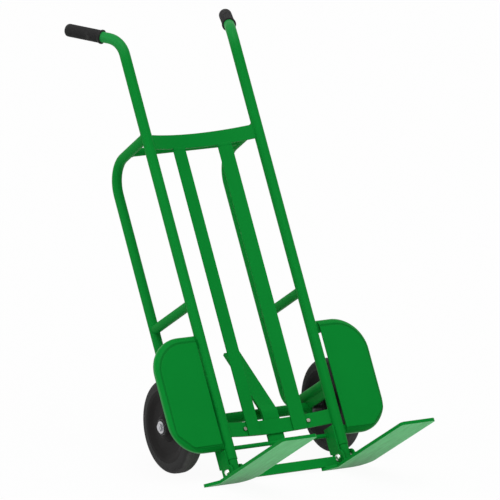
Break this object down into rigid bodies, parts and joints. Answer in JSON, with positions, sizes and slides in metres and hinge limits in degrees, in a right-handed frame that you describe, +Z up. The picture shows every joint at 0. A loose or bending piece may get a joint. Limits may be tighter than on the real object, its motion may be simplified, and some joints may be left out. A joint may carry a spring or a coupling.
{
  "type": "mini pallet truck",
  "caption": "Two-wheel hand truck of bent tube with short flat forks that a foot pedal tilts to lift the edge of a pallet, with wheel guards and rubber grips.",
  "frame": {"origin": "on the floor, at the middle of the box round the truck as it stands by itself on its wheels and on the heels of its forks", "axes": "+Z up, -Y towards the load (the fork tips), +Y towards the operator, +X to the right as seen from the load side"},
  "size_m": [0.679, 1.1142, 1.1625],
  "materials": {
    "green_paint": "satin",
    "grip_rubber": "matt, ribbed",
    "tyre_rubber": "matt",
    "wheel_plastic": "matt",
    "zinc_steel": "zinc plated",
    "bearing_steel": "ground"
  },
  "bodies": {
    "frame": {"right_rail": "green_paint", "left_rail": "green_paint", "right_grip": "grip_rubber", "left_grip": "grip_rubber", "upper_crossbar": "green_paint", "lower_crossbar": "green_paint", "crossbar_bolts": "zinc_steel", "crossbar_nuts": "zinc_steel", "right_stringer": "green_paint", "left_stringer": "green_paint", "right_rear_hoop": "green_paint", "left_rear_hoop": "green_paint", "right_strut": "green_paint", "left_strut": "green_paint", "rear_crossbar": "green_paint", "right_axle_plate": "green_paint", "left_axle_plate": "green_paint", "axle": "zinc_steel", "axle_tube": "green_paint", "axle_spacers": "bearing_steel", "axle_washers": "zinc_steel", "axle_nuts": "zinc_steel", "right_wheel_guard": "green_paint", "left_wheel_guard": "green_paint", "right_rail_foot": "green_paint", "left_rail_foot": "green_paint", "pivot_bushes": "bearing_steel"},
    "lift_fork": {"left_fork": "green_paint", "right_fork": "green_paint", "heel_bar": "green_paint", "left_cheek": "green_paint", "right_cheek": "green_paint", "left_lug": "green_paint", "right_lug": "green_paint", "pedal_rod": "green_paint", "pedal_lever": "green_paint", "left_pivot_bolt": "zinc_steel", "right_pivot_bolt": "zinc_steel", "pivot_nuts": "zinc_steel", "pivot_washers": "green_paint"},
    "left_wheel": {"left_tyre": "tyre_rubber", "left_wheel_centre": "wheel_plastic", "left_wheel_bearings": "bearing_steel"},
    "right_wheel": {"right_tyre": "tyre_rubber", "right_wheel_centre": "wheel_plastic", "right_wheel_bearings": "bearing_steel"}
  },
  "joints": [
    {"name": "fork_tilt", "type": "hinge", "parent": "frame", "child": "lift_fork", "pos_m": [0, -0.20259, 0.03109], "axis": [-1, 0, 0], "range_deg": [0, 12]},
    {"name": "left_wheel_spin", "type": "hinge", "parent": "frame", "child": "left_wheel", "pos_m": [0, -0.00458, 0.13], "axis": [1, 0, 0], "continuous": true},
    {"name": "right_wheel_spin", "type": "hinge", "parent": "frame", "child": "right_wheel", "pos_m": [0, -0.00458, 0.13], "axis": [1, 0, 0], "continuous": true}
  ]
}
